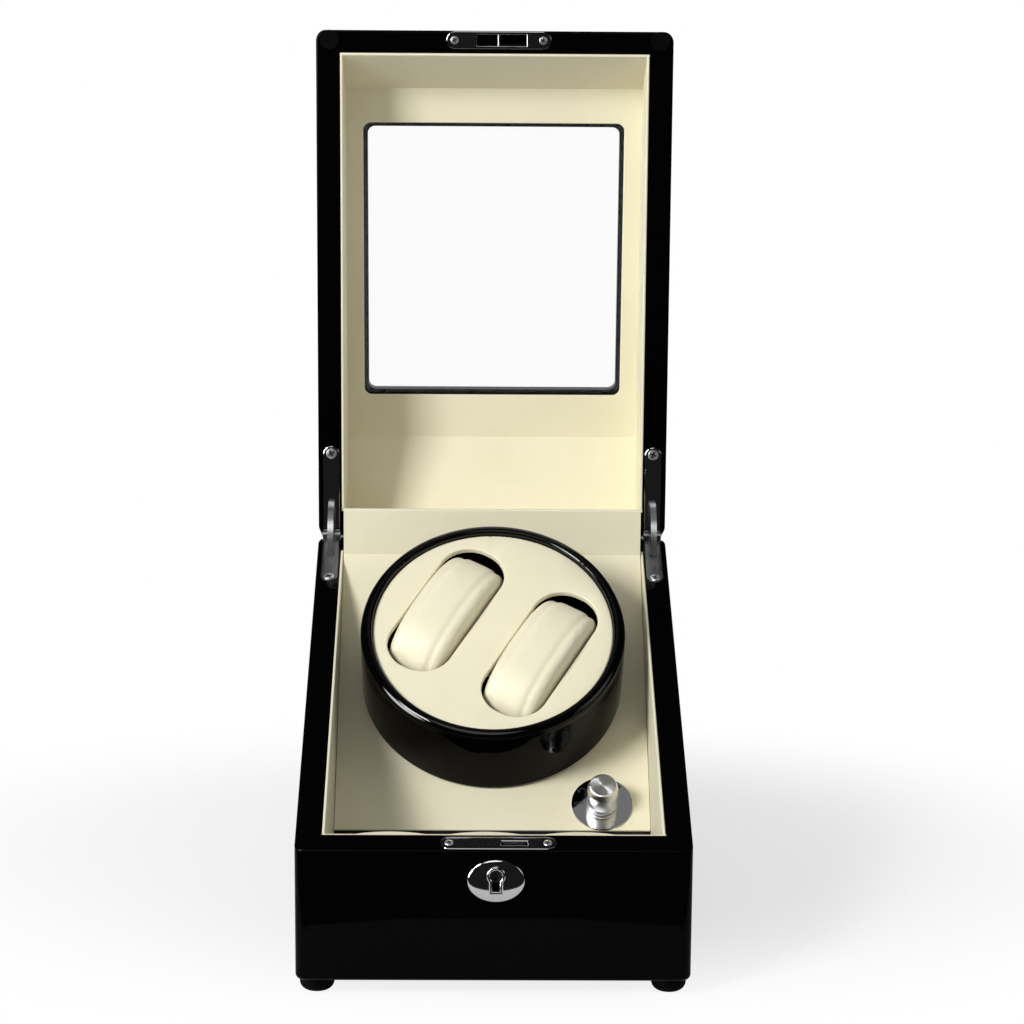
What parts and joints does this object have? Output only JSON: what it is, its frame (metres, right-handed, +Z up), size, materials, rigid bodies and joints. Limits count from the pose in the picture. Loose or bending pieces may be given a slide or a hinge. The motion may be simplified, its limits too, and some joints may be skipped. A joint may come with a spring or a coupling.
{
  "type": "watch_winder",
  "caption": "Gloss black watch winder box with a cream lined lid standing open, a window, a winding drum with watch cushions, a mode knob and a keyed lock",
  "frame": {"origin": "middle of the bottom of the bounding box at rest, between the feet, lid open", "axes": "+X to the right seen from the front, +Y to the back, +Z up"},
  "size_m": [0.18, 0.313, 0.4201],
  "materials": {
    "black_lacquer": "board under a polished black lacquer",
    "cream_leatherette": "smooth cream leatherette on thin board",
    "black_board": "board painted matt black",
    "chrome_plate": "polished chrome plate",
    "spun_aluminium": "turned aluminium with a spun top",
    "zinc_steel": "zinc plated steel",
    "dark_steel": "blackened steel",
    "turned_brass": "turned brass",
    "nylon": "white nylon",
    "clear_glass": "clear sheet",
    "black_rubber": "soft black rubber",
    "black_plastic": "moulded black plastic",
    "circuit_board": "green laminate"
  },
  "bodies": {
    "base": {"back_lining": "cream_leatherette", "back_lip": "cream_leatherette", "base_case": "black_lacquer", "board_posts": "nylon", "bottom_panel": "black_board", "bottom_panel_screws": "zinc_steel", "control_board": "circuit_board", "deck": "cream_leatherette", "deck_cleats": "black_board", "deck_riser": "black_board", "drive_screws": "zinc_steel", "feet": "black_rubber", "front_lining": "cream_leatherette", "hinge_base_leaves": "chrome_plate", "hinge_base_screws": "zinc_steel", "hinge_pins": "chrome_plate", "jack_nut": "zinc_steel", "knob_plate": "chrome_plate", "left_lining": "cream_leatherette", "lock_case": "zinc_steel", "lock_escutcheon": "chrome_plate", "lock_faceplate": "chrome_plate", "lock_screws": "zinc_steel", "motor": "zinc_steel", "motor_bracket": "zinc_steel", "power_jack": "black_plastic", "right_lining": "cream_leatherette", "rotary_switch": "black_plastic", "spindle_bearing": "turned_brass", "switch_nut": "zinc_steel", "thrust_washer": "nylon", "well_floor": "black_board"},
    "lid": {"hinge_lid_leaves": "chrome_plate", "hinge_lid_screws": "zinc_steel", "lid_bumpers": "black_rubber", "lid_front_lining": "cream_leatherette", "lid_left_lining": "cream_leatherette", "lid_panel_lining": "cream_leatherette", "lid_rear_lining": "cream_leatherette", "lid_right_lining": "cream_leatherette", "lid_shell": "black_lacquer", "lid_top_lining": "cream_leatherette", "strike_plate": "chrome_plate", "strike_screws": "zinc_steel", "window_pane": "clear_glass"},
    "hinge_stays": {"hinge_struts": "chrome_plate"},
    "turntable": {"drum": "black_lacquer", "turntable_disc": "cream_leatherette", "spindle": "zinc_steel", "drum_nut": "zinc_steel", "driven_gear": "nylon", "left_cushion": "cream_leatherette", "right_cushion": "cream_leatherette"},
    "motor_pinion": {"drive_pinion": "nylon", "motor_shaft": "zinc_steel"},
    "mode_knob": {"knob": "spun_aluminium", "switch_shaft": "zinc_steel"},
    "lock_barrel": {"lock_cam": "dark_steel"},
    "bolt": {"lock_bolt": "zinc_steel"}
  },
  "joints": [
    {"name": "lid_hinge", "type": "hinge", "parent": "base", "child": "lid", "pos_m": [0, 0.09094, 0.1602], "axis": [1, 0, 0], "range_deg": [0, 110]},
    {"name": "stay_swing", "type": "hinge", "parent": "base", "child": "hinge_stays", "pos_m": [0, 0.09094, 0.1602], "axis": [1, 0, 0], "range_deg": [0, 55]},
    {"name": "turntable_spin", "type": "hinge", "parent": "base", "child": "turntable", "pos_m": [0, 0.01324, 0.10379], "axis": [0, -0.6374, 0.7705], "continuous": true},
    {"name": "pinion_spin", "type": "hinge", "parent": "base", "child": "motor_pinion", "pos_m": [-0.0281, 0.01324, 0.10379], "axis": [0, -0.6374, 0.7705], "continuous": true},
    {"name": "knob_turn", "type": "hinge", "parent": "base", "child": "mode_knob", "pos_m": [0.0532, -0.04331, 0.05701], "axis": [0, 0.6374, -0.7705], "range_deg": [0, 270]},
    {"name": "key_turn", "type": "hinge", "parent": "base", "child": "lock_barrel", "pos_m": [0.001, -0.15406, 0.059], "axis": [0, -1, 0], "range_deg": [0, 90]},
    {"name": "bolt_slide", "type": "slide", "parent": "base", "child": "bolt", "axis": [0, 0, 1], "range_m": [0, 0.00708]}
  ],
  "couplings": [
    {"joint": "pinion_spin", "follows": "turntable_spin", "ratio": -3},
    {"joint": "stay_swing", "follows": "lid_hinge", "ratio": 0.5},
    {"joint": "bolt_slide", "follows": "key_turn", "m_per_rad": 0.0045}
  ]
}
